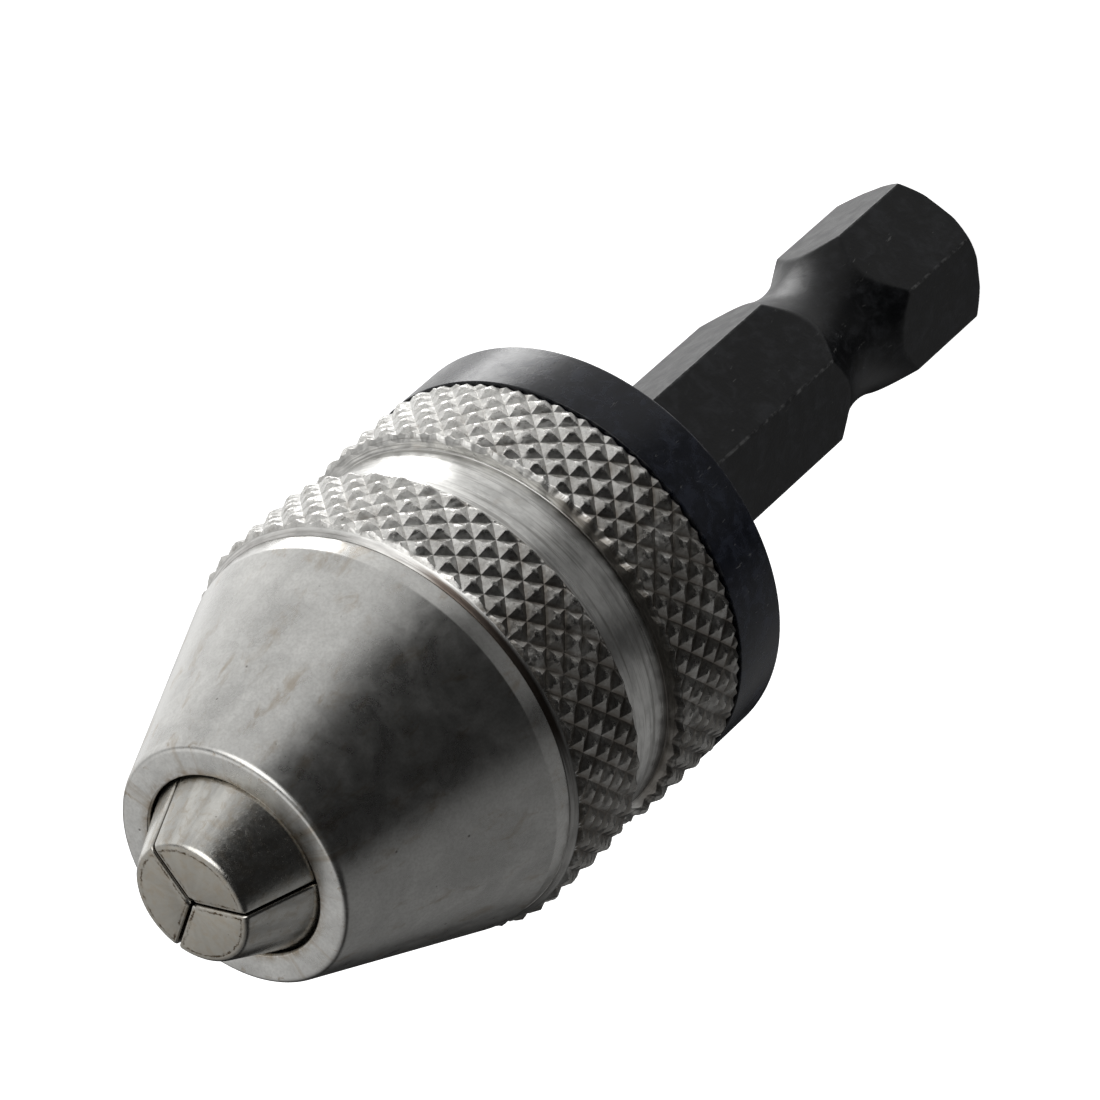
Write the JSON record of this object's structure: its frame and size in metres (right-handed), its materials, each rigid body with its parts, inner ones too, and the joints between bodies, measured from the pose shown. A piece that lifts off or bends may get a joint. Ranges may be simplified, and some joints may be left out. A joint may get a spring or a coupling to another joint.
{
  "type": "drill chuck",
  "caption": "Hand-tightened drill chuck: knurled screw sleeve with a conical nose, radial segment jaws, a black collar and a hexagonal power shank with a detent groove.",
  "frame": {"origin": "centre of the hexagonal shank's end face", "axes": "+Z along the chuck's axis from the shank's end to the jaw tips; +X towards a corner of the hexagon, so its flats face +Y and -Y and 60 degree steps from them"},
  "size_m": [0.018, 0.018, 0.049],
  "materials": {
    "sleeve_steel": "satin turned steel, lightly worn",
    "jaw_steel": "ground hardened steel with dirt in the corners",
    "black_oxide": "black oxide, matte to satin, worn lighter on the edges",
    "body_steel": "screw-cut plain steel, oiled",
    "hard_steel": "hardened and ground",
    "ball_steel": "polished bearing steel",
    "cage_brass": "stamped brass",
    "spring_steel": "drawn spring wire"
  },
  "bodies": {
    "shank": {"hex_shank": "black_oxide", "chuck_body": "body_steel", "back_ring": "black_oxide", "lock_pin": "hard_steel", "stop_ring": "spring_steel", "rear_race": "hard_steel"},
    "cage": {"ball_cage": "cage_brass", "thrust_balls": "ball_steel"},
    "jaw_carrier": {"jaw_seat": "hard_steel"},
    "sleeve": {"nose_hood": "sleeve_steel", "grip_sleeve": "sleeve_steel"},
    "jaw_1": {"jaw_1": "jaw_steel", "front_spring_1": "spring_steel", "rear_spring_1": "spring_steel"},
    "jaw_2": {"jaw_2": "jaw_steel", "front_spring_2": "spring_steel", "rear_spring_2": "spring_steel"},
    "jaw_3": {"jaw_3": "jaw_steel", "front_spring_3": "spring_steel", "rear_spring_3": "spring_steel"}
  },
  "joints": [
    {"name": "sleeve_turn", "type": "hinge", "parent": "shank", "child": "jaw_carrier", "pos_m": [0, 0, 0.0378], "axis": [0, 0, 1], "range_deg": [0, 1460]},
    {"name": "cage_turn", "type": "hinge", "parent": "shank", "child": "cage", "pos_m": [0, 0, 0.03695], "axis": [0, 0, 1], "range_deg": [0, 730]},
    {"name": "sleeve_travel", "type": "slide", "parent": "jaw_carrier", "child": "sleeve", "axis": [0, 0, 1], "range_m": [0, 0.00405]},
    {"name": "jaw_1_slide", "type": "slide", "parent": "jaw_carrier", "child": "jaw_1", "axis": [0.8241, 0.5664, 0], "range_m": [0, 0.00181], "deforming": ["front_spring_1", "rear_spring_1"]},
    {"name": "jaw_2_slide", "type": "slide", "parent": "jaw_carrier", "child": "jaw_2", "axis": [-0.9026, 0.4305, 0], "range_m": [0, 0.00181], "deforming": ["front_spring_2", "rear_spring_2"]},
    {"name": "jaw_3_slide", "type": "slide", "parent": "jaw_carrier", "child": "jaw_3", "axis": [0.0785, -0.9969, 0], "range_m": [0, 0.00181], "deforming": ["front_spring_3", "rear_spring_3"]}
  ],
  "couplings": [
    {"joint": "cage_turn", "follows": "sleeve_travel", "rad_per_m": 3141.6},
    {"joint": "sleeve_turn", "follows": "sleeve_travel", "rad_per_m": 6283.2},
    {"joint": "jaw_1_slide", "follows": "sleeve_travel", "ratio": 0.44523},
    {"joint": "jaw_2_slide", "follows": "sleeve_travel", "ratio": 0.44523},
    {"joint": "jaw_3_slide", "follows": "sleeve_travel", "ratio": 0.44523}
  ]
}
